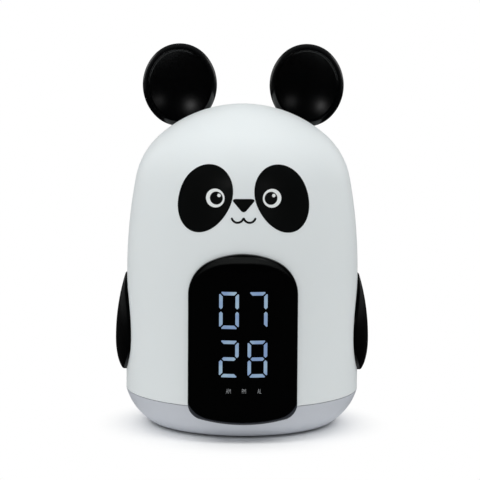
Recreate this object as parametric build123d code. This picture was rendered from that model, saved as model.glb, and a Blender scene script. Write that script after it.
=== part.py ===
"""Animal-shaped alarm clock with a night light, as its separate pieces.

Millimetres. The front faces -Y and +Z is up. The origin is on the table,
under the axis of the round body. Each piece is written to parts/NAME.step.
"""
import os
from dataclasses import dataclass
from math import asin, atan2, cos, degrees, hypot, radians, sin, sqrt, tan

from build123d import *

# --- Body: a white dome on a grey base, both turned about the Z axis ---
seam_radius = 52.5          # where the dome meets the base
seam_z = 15.3
side_draft = 0.42           # degrees that the straight side leans in
straight_top_z = 70.7
haunch_radius = 225.0       # long curve above the straight side
haunch_top_z = 111.0
shoulder_radius = 33.7
dome_top_z = 144.0
dome_wall = 2.2
seam_gap = 0.25             # shadow gap between dome and base
base_flat_z = 1.1           # underside, carried clear of the table by the feet
base_flat_radius = 41.8
base_bulge = 1.7            # rise of the base's rounded side over its chord
base_wall = 2.4
tongue_wall = 1.6           # ring on the base that the dome slips over
tongue_rise = 3.0
tongue_root = 4.6

# --- Clearances ---
seat_gap = 0.05             # between glued or screwed faces
fit_gap = 0.2               # between a moulded plug and its hole
move_gap = 0.3              # round anything that moves
overcut = 1.0               # how far a cut runs past the face it opens
root = 1.0                  # how far an added form starts inside what carries it
tolerance = 0.005           # for finding an edge by its place

# --- Display: arched black lens, light windows, light block and board ---
lens_proud = 2.0            # how far lens and rear panel stand out of the body
lens_edge_round = 1.5
flange_overlap = 2.0        # how far they cover the edge of their window
lens_lip_wall = 1.2
lens_lip_depth = 3.4        # lip behind the lens, through the window
display_board_gap = 1.9     # board's front behind the lens's side edges
display_post_radius = 2.3
display_post_x = 13.0
display_post_high_z = 72.5
display_post_low_z = 17.0

digit_width = 8.5
digit_height = 16.1
digit_pitch_x = 12.35
digit_pitch_z = 21.15
digits_centre_x = 0.1
digits_centre_z = 48.1
segment_width = 1.5
segment_gap = 0.7           # dark gap where two bars meet
segment_tip = 0.6           # cut off the sharp corner of a mitred bar, along its sides
indicator_x = 0.55          # middle one of the three
indicator_z = 23.6
indicator_pitch = 6.7
indicator_size = (4.0, 2.8)
indicator_round = 0.6
light_block_margin = 2.2
light_led_size = 1.1
light_led_height = 0.7
board_thickness = 1.6

# --- Ears: dished oval discs standing on the dome ---
ear_centre_x = 28.7
ear_centre_z = 151.8
ear_front_y = 4.0
ear_thickness = 9.5
ear_half_width = 16.8
ear_half_height = 18.7
ear_front_round = 5.5       # the rim's long slope, which the dish cuts off at a crest
ear_back_round = 3.5
ear_rim = 2.8               # from the outline in to the crest
ear_crest_round = 0.5
ear_dish_depth = 4.8        # in the middle of the dish
ear_dish_lip = 1.0          # drop from the crest to the dish, at the top
ear_dish_round = 0.8        # round between the lip and the dish
oval_fullness = 0.65        # 0 is a circle's end, higher is more pointed
ear_peg_radius = 2.8
ear_peg_x = 23.0            # nearer the middle, where the foot is deepest
ear_boss_wall = 2.4
boss_ledge = 1.0            # end wall of a boss, under the screw head
ear_boss_drop = 1.6         # how far the boss hangs below the inner roof

# --- Arms: teardrop pads on the sides ---
arm_round_z = 39.6          # centre of the round lower end
arm_round_radius = 16.2
arm_tip_z = 67.8
arm_widest_z = 37.5
arm_proud = 5.0
arm_tip_proud = 0.3         # thickness that the pad's long curve runs out to, above its tip
arm_foot_drop = 0.6         # how far the pad's curve runs on below its round lower end
arm_edge_round = 1.1
arm_wrap_radius = 23.5      # curve of the pad round the side
arm_peg_radius = 2.6
arm_peg_z = 40.0
arm_boss_depth = 4.0
arm_screw_head_radius = 3.2

# --- Screws shared by the inner pieces ---
screw_radius = 1.2
screw_head_radius = 2.2
screw_head_height = 1.4
screw_bite = 5.0

# --- Rear panel: a recessed tray with the controls ---
rear_wall = 1.6
rear_floor_depth = 8.5      # inner face of the tray's floor, in from the body's side
rear_floor_thickness = 2.0
rear_edge_round = 0.8
rear_post_radius = 2.3
rear_hook = 1.2             # snap hooks behind the edge of the dome's window
rear_hook_width = 8.0
rear_board_gap = 6.0        # from the tray's floor to the main board
main_board_low_z = 27.0
main_board_high_z = 59.5
main_board_half_width = 20.0
main_board_post_inset = 2.2

button_radius = 3.6
button_pitch = 11.0
button_row_high_z = 52.5
button_row_low_z = 41.5
button_proud = 2.6
button_travel = 0.6
button_flange = 1.0
button_flange_height = 0.9
button_edge_round = 0.7
button_stem_radius = 1.4
tact_size = 6.0
tact_height = 2.6
tact_plunger_radius = 1.6
tact_plunger_height = 0.6

switch_travel = 3.0
switch_knob_size = (4.0, 3.0)       # along X and Z
switch_knob_proud = 1.8
switch_flange_margin = 2.4
switch_rib_pitch = 1.0
switch_body_size = (10.0, 5.4)
switch_body_height = 3.2

socket_z = 30.5
socket_mouth = (8.4, 2.6)
socket_shell = 0.35
socket_length = 7.4
socket_tongue = (6.4, 0.7)
socket_tongue_inset = 1.0   # from the mouth in to the tongue's end

speaker_z = 68.0
speaker_radius = 9.5
speaker_height = 4.2
speaker_magnet_radius = 6.0
speaker_magnet_height = 1.6
speaker_cone_rim = 1.0      # flat rim round the cone
speaker_cone_depth = 2.4
speaker_slot_height = 1.2
speaker_slot_pitch = 2.6
speaker_slots = 7
speaker_rib = 1.2

# --- Base: battery bay, door, feet and housing screws ---
cell_radius = 5.25
cell_length = 43.3
cell_nub_radius = 2.0
cell_nub = 1.0
cell_pitch = 11.1
cells = 3
bay_wall = 1.6
bay_end_room = 3.0          # room for a contact at each end of the cells
contact_strip = 0.4
contact_width = 7.0
contact_bow = 1.8
door_thickness = 2.0
door_margin = 1.5           # how far the door covers the bay's edge
door_tab_width = 7.0
door_tab_reach = 2.2
door_tab_thickness = 1.0
door_ear_radius = 4.6
door_boss_wall = 2.4
foot_radius = 4.6
foot_recess = 0.7
foot_chamfer = 0.5
foot_ring_radius = 33.8
foot_angle = 29.0
housing_ring_radius = 37.0
housing_angle = 45.0
housing_boss_radius = 4.0
housing_head_z = 9.0        # ledge that the screw heads pull against
housing_bite = 12.0
screw_room = 2.0            # free depth past a screw's tip
dome_boss_radius = 3.4
dome_boss_height = 24.0
dome_rib = 1.6

# --- Light tower: carries the night light up into the dome ---
tower_radius = 12.0
tower_wall = 1.8
tower_foot_radius = 16.5
tower_plate = 2.0
tower_deck_radius = 29.0
tower_deck_z = 84.0
tower_slot_width = 8.0
tower_slot_margin = 5.0     # from the slot's ends to the foot and to the gussets
tower_gussets = 6
tower_gusset_drop = 14.0
tower_gusset = 1.6
tower_gusset_margin = 1.0   # from the gusset's end to the deck's edge
tower_screw_ring = 14.2
night_board_radius = 27.0
night_led_size = 3.6
night_led_height = 1.5
night_leds = 10
night_led_ring = 21.0

SEGMENTS_LIT = {"0": "abcdef", "2": "abdeg", "7": "abc", "8": "abcdefg"}
DIGITS = (("0", 0, 0), ("7", 1, 0), ("2", 0, 1), ("8", 1, 1))   # figure, column, row


# --- Outline of the body ---
def polar(centre, radius, angle):
    """Point on a circle, with the angle in degrees from the horizontal."""
    return (centre[0] + radius * cos(radians(angle)), centre[1] + radius * sin(radians(angle)))


def heading(start, end):
    """Direction from one point to another, in degrees."""
    return degrees(atan2(end[1] - start[1], end[0] - start[0]))


haunch_start = (seam_radius - (straight_top_z - seam_z) * tan(radians(side_draft)), straight_top_z)
haunch_centre = polar(haunch_start, -haunch_radius, side_draft)
haunch_end_angle = degrees(asin((haunch_top_z - haunch_centre[1]) / haunch_radius))
shoulder_centre = polar(haunch_centre, haunch_radius - shoulder_radius, haunch_end_angle)
crown_rise = dome_top_z - shoulder_centre[1]
crown_radius = (shoulder_centre[0] ** 2 + crown_rise ** 2 - shoulder_radius ** 2) / (
    2 * (crown_rise - shoulder_radius))
crown_centre = (0.0, dome_top_z - crown_radius)
crown_start_angle = heading(crown_centre, shoulder_centre)

base_chord = hypot(seam_radius - base_flat_radius, seam_z - base_flat_z)
base_arc_radius = (base_chord ** 2 / 4 + base_bulge ** 2) / (2 * base_bulge)
base_chord_middle = ((seam_radius + base_flat_radius) / 2, (seam_z + base_flat_z) / 2)
base_arc_centre = polar(base_chord_middle, base_bulge - base_arc_radius,
                        heading((base_flat_radius, base_flat_z), (seam_radius, seam_z)) - 90)


def body_radius(z, inset=0.0):
    """Radius of the straight side or the haunch at a height."""
    start = polar(haunch_centre, haunch_radius - inset, side_draft)
    if z <= start[1]:
        return start[0] + (start[1] - z) * tan(radians(side_draft))
    return haunch_centre[0] + sqrt((haunch_radius - inset) ** 2 - (z - haunch_centre[1]) ** 2)


def roof_z(radius, inset=0.0):
    """Height of the crown or the shoulder at a distance from the axis."""
    crown_end = polar(crown_centre, crown_radius - inset, crown_start_angle)
    on_crown = radius <= crown_end[0]
    centre, arc = (crown_centre, crown_radius) if on_crown else (shoulder_centre, shoulder_radius)
    return centre[1] + sqrt((arc - inset) ** 2 - (radius - centre[0]) ** 2)


def base_radius(z, inset=0.0):
    """Radius of the base's rounded side at a height."""
    return base_arc_centre[0] + sqrt((base_arc_radius - inset) ** 2 - (z - base_arc_centre[1]) ** 2)


def turned(face):
    """Solid of an outline drawn in X and Z, turned about the body's axis."""
    return revolve(Plane.XZ * face, Axis.Z)


def body_form(inset=0.0, low_z=seam_z):
    """The dome's outer form, solid, with its surface moved in by the inset."""
    foot = (body_radius(low_z, inset), low_z)
    start = polar(haunch_centre, haunch_radius - inset, side_draft)
    top = (0.0, dome_top_z - inset)
    return turned(make_face([
        Line((0, low_z), foot),
        Line(foot, start),
        CenterArc(haunch_centre, haunch_radius - inset, side_draft, haunch_end_angle - side_draft),
        CenterArc(shoulder_centre, shoulder_radius - inset, haunch_end_angle,
                  crown_start_angle - haunch_end_angle),
        CenterArc(crown_centre, crown_radius - inset, crown_start_angle, 90 - crown_start_angle),
        Line(top, (0, low_z)),
    ]))


def base_form(inset=0.0, low_z=base_flat_z, high_z=seam_z):
    """The base's outer form, solid, with its rounded side moved in by the inset."""
    low = (base_radius(low_z, inset), low_z)
    high = (base_radius(high_z, inset), high_z)
    middle_angle = (heading(base_arc_centre, low) + heading(base_arc_centre, high)) / 2
    middle = polar(base_arc_centre, base_arc_radius - inset, middle_angle)
    return turned(make_face([
        Line((0, low_z), low),
        ThreePointArc(low, middle, high),
        Line(high, (0, high_z)),
        Line((0, high_z), (0, low_z)),
    ]))


def along_y(face, near_y, far_y):
    """Solid of an outline drawn in X and Z, between two depths."""
    return extrude(Plane.XZ.offset(-far_y) * face, far_y - near_y)


def upright(radius, low_z, high_z, x=0.0, y=0.0):
    """Upright cylinder between two heights."""
    return Pos(x, y, low_z) * extrude(Circle(radius), high_z - low_z)


def rod_y(radius, near_y, far_y, x, z):
    """Cylinder along Y between two depths."""
    return along_y(Pos(x, z) * Circle(radius), near_y, far_y)


def block(low, high):
    """Box between two corners."""
    size = [b - a for a, b in zip(low, high)]
    centre = [(a + b) / 2 for a, b in zip(low, high)]
    return Pos(*centre) * Box(*size)


def rim_at(part, y):
    """The edges that lie in an upright plane at a depth."""
    return part.edges().filter_by_position(Axis.Y, y - tolerance, y + tolerance)


def save(name, *pieces):
    """Write one sub-part as a file of separate solids."""
    solids = [solid for piece in pieces for solid in piece.solids()]
    export_step(Compound(solids), f"parts/{name}.step")


# --- Arched outline shared by the lens in front and the control panel behind ---
least_corner = 0.5


@dataclass(frozen=True)
class Arch:
    """An outline with straight sides, a round head and a nearly flat sill."""
    half_width: float
    low_z: float
    high_z: float
    head_arc: float
    head_corner: float
    sill_arc: float
    sill_corner: float

    def corner(self, arc_centre_z, arc, corner, half, side):
        """Centre of the round between an arc and the side, and where it meets the arc."""
        rise = side * sqrt((arc - corner) ** 2 - (half - corner) ** 2)
        return (half - corner, arc_centre_z + rise), degrees(atan2(rise, half - corner))

    def face(self, inset=0.0):
        """The outline as a face, moved in all round by the inset."""
        half = self.half_width - inset
        head, head_corner = self.head_arc - inset, self.head_corner - inset
        sill, sill_corner = self.sill_arc - inset, max(self.sill_corner - inset, least_corner)
        head_z, sill_z = self.high_z - self.head_arc, self.low_z + self.sill_arc
        high, head_turn = self.corner(head_z, head, head_corner, half, 1)
        low, sill_turn = self.corner(sill_z, sill, sill_corner, half, -1)
        return make_face([
            CenterArc(high, head_corner, 0, head_turn),
            CenterArc((0, head_z), head, head_turn, 180 - 2 * head_turn),
            CenterArc((-high[0], high[1]), head_corner, 180 - head_turn, head_turn),
            Line((-half, high[1]), (-half, low[1])),
            CenterArc((-low[0], low[1]), sill_corner, 180, -sill_turn),
            CenterArc((0, sill_z), sill, 180 - sill_turn, 180 + 2 * sill_turn),
            CenterArc(low, sill_corner, sill_turn, -sill_turn),
            Line((half, low[1]), (half, high[1])),
        ])


front_arch = Arch(half_width=23.85, low_z=8.3, high_z=83.0, head_arc=32.4, head_corner=16.8,
                  sill_arc=93.0, sill_corner=6.7)
rear_arch = Arch(half_width=22.5, low_z=21.0, high_z=84.5, head_arc=31.0, head_corner=16.0,
                 sill_arc=76.0, sill_corner=6.7)

clear_y = seam_radius + lens_proud + 10      # a depth outside the whole body
front_side = (-clear_y, -seam_radius / 3)    # depths that take in one wall only
rear_side = (seam_radius / 3, clear_y)
window_inset = flange_overlap
plug_inset = flange_overlap + fit_gap


def proud_shell(arch, side):
    """The curved slab that covers a window, following the body's form."""
    slab = along_y(arch.face(), *side) & body_form(-lens_proud, base_flat_z)
    return slab - body_form(-seat_gap, seam_z) - base_form(-seat_gap)


def outer_edges(part):
    """The outline edges on the proud surface of a window's slab."""
    found = []
    for edge in part.edges():
        point = edge.position_at(0.5)
        proud = abs(hypot(point.X, point.Y) - body_radius(point.Z, -lens_proud)) < tolerance
        level = edge.bounding_box().size.Z < tolerance
        if proud and not level:
            found.append(edge)
    return found


# --- Seven-segment figures ---
# Each bar's column and row in halves of the figure, its turn, and whether each end is mitred.
BARS = {"a": (0, 1, 0, (True, True)), "d": (0, -1, 180, (True, True)), "g": (0, 0, 0, (False, False)),
        "f": (-1, 0.5, 90, (False, True)), "b": (1, 0.5, -90, (True, False)),
        "e": (-1, -0.5, 90, (True, False)), "c": (1, -0.5, -90, (False, True))}


def bar_end(half, mitred):
    """Outline of a bar's end: mitred at a corner of the figure, else pointed."""
    nose = segment_width / 2
    if mitred:
        side, slope = segment_tip, segment_tip / sqrt(2)
        return [(half + nose - side, nose), (half + nose - slope, nose - slope), (half - nose, -nose)]
    return [(half - nose, nose), (half, 0), (half - nose, -nose)]


def segment_face(x, z, turn, length, ends):
    """A bar of a figure, its long side to the outside."""
    low, high = [bar_end(length / 2, mitred) for mitred in ends]
    points = high + [(-u, v) for u, v in reversed(low)]
    return Pos(x, z) * Rot(0, 0, turn) * make_face(Polyline(*points, close=True))


def display_segments():
    """Every bar of the display, with whether it is lit."""
    half_x, half_z = (digit_width - segment_width) / 2, (digit_height - segment_width) / 2
    for figure, column, row in DIGITS:
        x = digits_centre_x + (column - 0.5) * digit_pitch_x
        z = digits_centre_z + (0.5 - row) * digit_pitch_z
        for name, (side, level, turn, ends) in BARS.items():
            length = (half_z if name in "bcef" else 2 * half_x) - sqrt(2) * segment_gap
            face = segment_face(x + side * half_x, z + level * half_z, turn, length, ends)
            yield name in SEGMENTS_LIT[figure], face


segments = list(display_segments())
indicator_faces = [Pos(indicator_x + i * indicator_pitch, indicator_z)
                   * RectangleRounded(*indicator_size, radius=indicator_round) for i in (-1, 0, 1)]


def light_windows(faces):
    """Clear windows through the lens, flush with its front."""
    shell = body_form(-lens_proud) - body_form(-seat_gap)
    return [along_y(face, *front_side) & shell for face in faces]


# --- Display pieces ---
def display_posts():
    """Places of the posts that hold the display board."""
    return [(side * display_post_x, z) for side in (-1, 1)
            for z in (display_post_low_z, display_post_high_z)]


lens_side_y = -sqrt(seam_radius ** 2 - front_arch.half_width ** 2)
display_board_y = lens_side_y + display_board_gap


def display_lens(window_faces):
    """Black lens with a locating lip and the posts for its board."""
    slab = proud_shell(front_arch, front_side)
    slab = fillet(outer_edges(slab), lens_edge_round)
    lip = along_y(front_arch.face(plug_inset) - front_arch.face(plug_inset + lens_lip_wall), *front_side)
    core = body_form(-lens_proud / 2, base_flat_z)
    lip &= core - body_form(lens_lip_depth, base_flat_z)
    posts = [rod_y(display_post_radius, -clear_y, display_board_y, x, z)
             for x, z in display_posts()]
    lens = slab + lip
    for post in posts:
        lens += post & core
    for x, z in display_posts():
        lens -= rod_y(screw_radius, display_board_y - screw_bite, display_board_y, x, z)
    return lens - [along_y(face, *front_side) for face in window_faces]


def light_block():
    """White block with a well behind each window, which keeps the figures apart."""
    half_x = (digit_pitch_x + digit_width) / 2 + light_block_margin
    low_z = indicator_z - indicator_size[1] / 2 - light_block_margin
    high_z = digits_centre_z + (digit_pitch_z + digit_height) / 2 + light_block_margin
    blank = block((digits_centre_x - half_x, -clear_y, low_z),
                  (digits_centre_x + half_x, display_board_y, high_z))
    blank &= body_form(fit_gap)
    for well in [face for is_lit, face in segments] + indicator_faces:
        blank -= along_y(well, -clear_y, display_board_y)
    return blank


def display_board():
    """Circuit board behind the light block, screwed to the lens's posts."""
    face = front_arch.face(plug_inset + lens_lip_wall + fit_gap)
    board = along_y(face, display_board_y, display_board_y + board_thickness)
    for x, z in display_posts():
        board -= rod_y(screw_radius + fit_gap, display_board_y, clear_y, x, z)
    return board


def display_leds():
    """One small lamp in each well."""
    half = light_led_size / 2
    middles = [face.center() for face in [face for is_lit, face in segments] + indicator_faces]
    return [block((at.X - half, display_board_y - light_led_height, at.Y - half),
                  (at.X + half, display_board_y, at.Y + half)) for at in middles]


def screw(bite, head_radius=screw_head_radius):
    """Pan-head screw pointing up, its head under Z = 0."""
    points = [(0, -screw_head_height), (head_radius, -screw_head_height), (head_radius, 0),
              (screw_radius, 0), (screw_radius, bite), (0, bite)]
    return turned(make_face(Polyline(*points, close=True)))


def board_screw(x, z, seat_y, turn):
    """Screw through a board: its head on the seat, its shank to the front or the back."""
    return Pos(x, seat_y, z) * Rot(turn, 0, 0) * screw(screw_bite + board_thickness - fit_gap)


# --- Ears ---
def oval(half_width, half_height):
    """Upright oval of four tangent arcs."""
    end_arc = half_width - oval_fullness * (half_height - half_width)
    end_z = half_height - end_arc
    side_arc = (half_width ** 2 + end_z ** 2 - end_arc ** 2) / (2 * (half_width - end_arc))
    turn = heading((half_width - side_arc, 0), (0, end_z))
    return make_face([
        CenterArc((half_width - side_arc, 0), side_arc, -turn, 2 * turn),
        CenterArc((0, end_z), end_arc, turn, 180 - 2 * turn),
        CenterArc((side_arc - half_width, 0), side_arc, 180 - turn, 2 * turn),
        CenterArc((0, -end_z), end_arc, 180 + turn, 180 - 2 * turn),
    ])


ear_crest_y = ear_front_y + ear_front_round - sqrt(ear_front_round ** 2 - (ear_front_round - ear_rim) ** 2)


def ear_bowl(place):
    """Hollow of the dish: a steep lip, then part of a sphere."""
    half_width, half_height = ear_half_width - ear_rim, ear_half_height - ear_rim
    floor_y = ear_front_y + ear_dish_depth
    sag = floor_y - ear_crest_y - ear_dish_lip
    ball_radius = (half_height ** 2 + sag ** 2) / (2 * sag)
    ball = Pos(-ear_centre_x, floor_y - ball_radius, ear_centre_z) * Sphere(ball_radius)
    bowl = along_y(place * oval(half_width, half_height), ear_front_y - overcut, floor_y + overcut) & ball
    return fillet(bowl.faces().filter_by(GeomType.SPHERE).edges(), ear_dish_round)


def ear_blank():
    """Dished oval disc, before the dome is cut out of its foot."""
    back_y = ear_front_y + ear_thickness
    place = Pos(-ear_centre_x, ear_centre_z)
    disc = along_y(place * oval(ear_half_width, ear_half_height), ear_front_y, back_y)
    disc = fillet(rim_at(disc, ear_front_y), ear_front_round)
    disc = fillet(rim_at(disc, back_y), ear_back_round)
    disc -= ear_bowl(place)
    return fillet(rim_at(disc, ear_crest_y), ear_crest_round)


ear_peg_y = ear_front_y + (ear_dish_depth + ear_thickness) / 2     # midway through what is behind the dish
ear_reach = hypot(ear_peg_x, ear_peg_y)
ear_boss_radius = ear_peg_radius + fit_gap + ear_boss_wall
ear_boss_z = roof_z(ear_reach + ear_boss_radius, dome_wall) - ear_boss_drop


def ear_left():
    """The ear on the -X side, with the peg that goes through the dome."""
    solid = ear_blank() - body_form(-seat_gap)
    low_z, high_z = ear_boss_z + boss_ledge + fit_gap, ear_centre_z - ear_half_height / 2
    peg = upright(ear_peg_radius, low_z, high_z, -ear_peg_x, ear_peg_y)
    hole = upright(screw_radius, ear_boss_z, ear_boss_z + 2 * screw_bite, -ear_peg_x, ear_peg_y)
    return solid + peg - hole


# --- Arms ---
def teardrop():
    """Side view of an arm: a round lower end and a pointed top."""
    rise = arm_tip_z - arm_round_z
    side_arc = (arm_round_radius ** 2 + rise ** 2) / (2 * arm_round_radius)
    sweep = degrees(asin(rise / side_arc))
    right = CenterArc((arm_round_radius - side_arc, arm_round_z), side_arc, 0, sweep)
    left = CenterArc((side_arc - arm_round_radius, arm_round_z), side_arc, 180 - sweep, sweep)
    return make_face([right, left, CenterArc((0, arm_round_z), arm_round_radius, 180, 180)])


def arm_swell():
    """The pad's outer form, turned about an upright line: a blunt foot, then a long arc to the tip."""
    axis_x = body_radius(arm_widest_z) + arm_proud - arm_wrap_radius
    low_z, high_z = arm_round_z - arm_round_radius - arm_foot_drop, arm_tip_z + overcut
    low = (body_radius(low_z) - axis_x, low_z)
    high = (body_radius(high_z) + arm_tip_proud - axis_x, high_z)
    widest = (arm_wrap_radius, arm_widest_z)
    face = make_face([
        Line((0, low_z), low),
        EllipticalCenterArc((low[0], arm_widest_z), arm_wrap_radius - low[0], arm_widest_z - low_z,
                            start_angle=270, arc_size=90),
        TangentArc(widest, high, tangent=(0, 1)),
        Line(high, (0, high_z)),
        Line((0, high_z), (0, low_z)),
    ])
    return Pos(axis_x, 0, 0) * turned(face)


arm_boss_radius = arm_peg_radius + fit_gap + ear_boss_wall
arm_boss_x = body_radius(arm_peg_z, dome_wall) - arm_boss_depth


def rod_x(radius, low_x, high_x, y, z):
    """Cylinder along X between two places."""
    return extrude(Plane.YZ.offset(low_x) * Pos(y, z) * Circle(radius), high_x - low_x)


def arm_right():
    """The arm on the +X side, with the peg that goes through the dome."""
    reach = body_radius(arm_round_z) + 2 * arm_proud
    pad = extrude(Plane.YZ * teardrop(), reach) & arm_swell()
    rim = [edge for edge in pad.edges().filter_by(GeomType.BSPLINE) if edge.center().X > arm_boss_x]
    pad = fillet(rim, arm_edge_round) - body_form(-seat_gap)
    low_x, high_x = arm_boss_x + boss_ledge + fit_gap, body_radius(arm_peg_z) + arm_proud / 2
    peg = rod_x(arm_peg_radius, low_x, high_x, 0, arm_peg_z)
    hole = rod_x(screw_radius, arm_boss_x, arm_boss_x + 2 * screw_bite - screw_head_height, 0, arm_peg_z)
    return pad + peg - hole


def arm_screw_right():
    """Screw that pulls the arm on from inside the dome."""
    return Pos(arm_boss_x, 0, arm_peg_z) * Rot(0, 90, 0) * screw(screw_bite, arm_screw_head_radius)


# --- Rear control panel ---
rear_floor_y = seam_radius - rear_floor_depth
rear_plate_y = rear_floor_y + rear_floor_thickness
main_board_y = rear_floor_y - rear_board_gap
button_columns = (-button_pitch, 0.0, button_pitch)
BUTTONS = {
    "time_button": (button_columns[0], button_row_high_z),
    "alarm_button": (button_columns[1], button_row_high_z),
    "light_button": (button_columns[2], button_row_high_z),
    "down_button": (button_columns[0], button_row_low_z),
    "up_button": (button_columns[1], button_row_low_z),
}
switch_x, switch_z = button_columns[2], button_row_low_z
knob_rest_x = switch_x - switch_travel / 2


def main_board_posts():
    """Places of the posts that hold the main board."""
    x = main_board_half_width - main_board_post_inset
    return [(side * x, z) for side in (-1, 1)
            for z in (main_board_low_z + main_board_post_inset, main_board_high_z - main_board_post_inset)]


def speaker_slot_faces():
    """Level slots that fill a circle."""
    reach = speaker_radius - speaker_rib
    for i in range(speaker_slots):
        z = (i - (speaker_slots - 1) / 2) * speaker_slot_pitch
        half = sqrt(reach ** 2 - z ** 2)
        yield Pos(0, speaker_z + z) * SlotOverall(2 * half, speaker_slot_height)


def socket_face(size, grow=0.0):
    """Outline of the power socket: a flat box with round ends."""
    width, height = size[0] + 2 * grow, size[1] + 2 * grow
    return Pos(0, socket_z) * SlotOverall(width, height)


def rear_panel():
    """Tray with a flange on the dome, holes for the controls, and posts for the board."""
    flange = proud_shell(rear_arch, rear_side)
    flange = fillet(outer_edges(flange), rear_edge_round)
    pocket = rear_arch.face(plug_inset + rear_wall)
    wall = along_y(rear_arch.face(plug_inset), rear_floor_y, clear_y) & body_form(-lens_proud / 2)
    tray = flange + wall - along_y(pocket, rear_plate_y, clear_y)
    for x, z in main_board_posts():
        tray += rod_y(rear_post_radius, main_board_y, rear_floor_y, x, z)
    speaker_rim = Circle(speaker_radius + fit_gap + speaker_rib) - Circle(speaker_radius + fit_gap)
    tray += along_y(Pos(0, speaker_z) * speaker_rim, rear_floor_y - speaker_height, rear_floor_y)
    for z, way in ((rear_arch.high_z - plug_inset, 1), (rear_arch.low_z + plug_inset, -1)):
        back_y = body_radius(z + way * rear_hook, dome_wall) - 2 * fit_gap
        low, high = sorted((z - way * rear_wall / 2, z + way * rear_hook))
        tray += block((-rear_hook_width / 2, back_y - rear_hook, low), (rear_hook_width / 2, back_y, high))
    return tray - rear_holes()


def rear_holes():
    """Everything that goes through the tray's floor."""
    through = (rear_floor_y - overcut, rear_plate_y + overcut)
    holes = [rod_y(button_radius + fit_gap, *through, x, z) for x, z in BUTTONS.values()]
    slot = Pos(switch_x, switch_z) * Rectangle(switch_knob_size[0] + switch_travel + 2 * move_gap,
                                               switch_knob_size[1] + 2 * move_gap)
    holes.append(along_y(slot, *through))
    holes += [along_y(face, *through) for face in speaker_slot_faces()]
    holes.append(along_y(socket_face(socket_mouth, socket_shell + fit_gap), *through))
    for x, z in main_board_posts():
        holes.append(rod_y(screw_radius, main_board_y, main_board_y + screw_bite, x, z))
    return holes


def main_board():
    """Circuit board behind the controls."""
    board = block((-main_board_half_width, main_board_y - board_thickness, main_board_low_z),
                  (main_board_half_width, main_board_y, main_board_high_z))
    for x, z in main_board_posts():
        board -= rod_y(screw_radius + fit_gap, 0, main_board_y, x, z)
    return board


def tact_switch(x, z):
    """Small push switch on the board, behind a button."""
    half = tact_size / 2
    body = block((x - half, main_board_y, z - half), (x + half, main_board_y + tact_height, z + half))
    top = main_board_y + tact_height + tact_plunger_height
    return body + rod_y(tact_plunger_radius, main_board_y, top, x, z)


def button(x, z):
    """Round cap with a stop flange inside and a stem to its switch."""
    top_y = rear_plate_y + button_proud
    flange_y = rear_floor_y - move_gap
    cap = rod_y(button_radius, flange_y, top_y, x, z)
    cap = fillet(rim_at(cap, top_y), button_edge_round)
    cap += rod_y(button_radius + button_flange, flange_y - button_flange_height, flange_y, x, z)
    stem_y = main_board_y + tact_height + tact_plunger_height + button_travel + fit_gap / 2
    return cap + rod_y(button_stem_radius, stem_y, flange_y, x, z)


def alarm_switch_knob():
    """Ribbed slider with a flange behind the tray's floor."""
    half_x, half_z = switch_knob_size[0] / 2, switch_knob_size[1] / 2
    flange_y = rear_floor_y - move_gap
    top_y = rear_plate_y + switch_knob_proud
    knob = block((knob_rest_x - half_x, flange_y, switch_z - half_z),
                 (knob_rest_x + half_x, top_y, switch_z + half_z))
    for step in (-1, 0, 1):
        x = knob_rest_x + step * switch_rib_pitch
        knob -= block((x - switch_rib_pitch / 4, top_y - switch_rib_pitch / 2, switch_z - half_z),
                      (x + switch_rib_pitch / 4, top_y, switch_z + half_z))
    reach_x, reach_z = half_x + switch_flange_margin, half_z + switch_flange_margin
    flange = block((knob_rest_x - reach_x, flange_y - button_flange_height, switch_z - reach_z),
                   (knob_rest_x + reach_x, flange_y, switch_z + reach_z))
    return knob + flange


def alarm_switch_body():
    """Slide switch on the board, behind the knob."""
    half_x, half_z = switch_body_size[0] / 2, switch_body_size[1] / 2
    return block((switch_x - half_x, main_board_y, switch_z - half_z),
                 (switch_x + half_x, main_board_y + switch_body_height, switch_z + half_z))


def power_socket():
    """Flat metal socket with a tongue inside, its mouth level with the tray's floor."""
    back_y = rear_plate_y - socket_length
    shell = along_y(socket_face(socket_mouth, socket_shell), back_y, rear_plate_y)
    shell -= along_y(socket_face(socket_mouth), back_y + socket_shell, rear_plate_y)
    half_x, half_z = socket_tongue[0] / 2, socket_tongue[1] / 2
    tongue = block((-half_x, back_y, socket_z - half_z),
                   (half_x, rear_plate_y - socket_tongue_inset, socket_z + half_z))
    return shell + tongue


def speaker():
    """Small round loudspeaker inside its rim."""
    cone_y = rear_floor_y - speaker_height
    frame = rod_y(speaker_radius, cone_y, rear_floor_y - seat_gap, 0, speaker_z)
    magnet = rod_y(speaker_magnet_radius, cone_y - speaker_magnet_height, cone_y, 0, speaker_z)
    cone = Pos(0, rear_floor_y, speaker_z) * Rot(90, 0, 0) * Cone(
        speaker_magnet_radius / 2, speaker_radius - speaker_cone_rim, speaker_cone_depth)
    return frame + magnet - cone


# --- Base and what it holds ---
bay_half_x = cells * cell_pitch / 2 + fit_gap
bay_half_y = (cell_length + cell_nub) / 2 + bay_end_room
door_z = base_flat_z + door_thickness
bay_floor_z = door_z + seat_gap
bay_roof_z = bay_floor_z + 2 * cell_radius + 2 * fit_gap
bay_top_z = bay_roof_z + bay_wall
door_half_x = bay_half_x + door_margin
door_half_y = bay_half_y + door_margin
door_screw_y = -door_half_y - screw_radius
door_seat_z = base_flat_z + screw_head_height + seat_gap
base_floor_z = door_z + bay_wall


def around(radius, start_angle, count=4):
    """Places on a ring: four that mirror each other, or evenly spaced ones."""
    if count == 4:
        angles = (start_angle, 180 - start_angle, 180 + start_angle, 360 - start_angle)
    else:
        angles = [start_angle + i * 360 / count for i in range(count)]
    return [polar((0, 0), radius, angle) for angle in angles]


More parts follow.
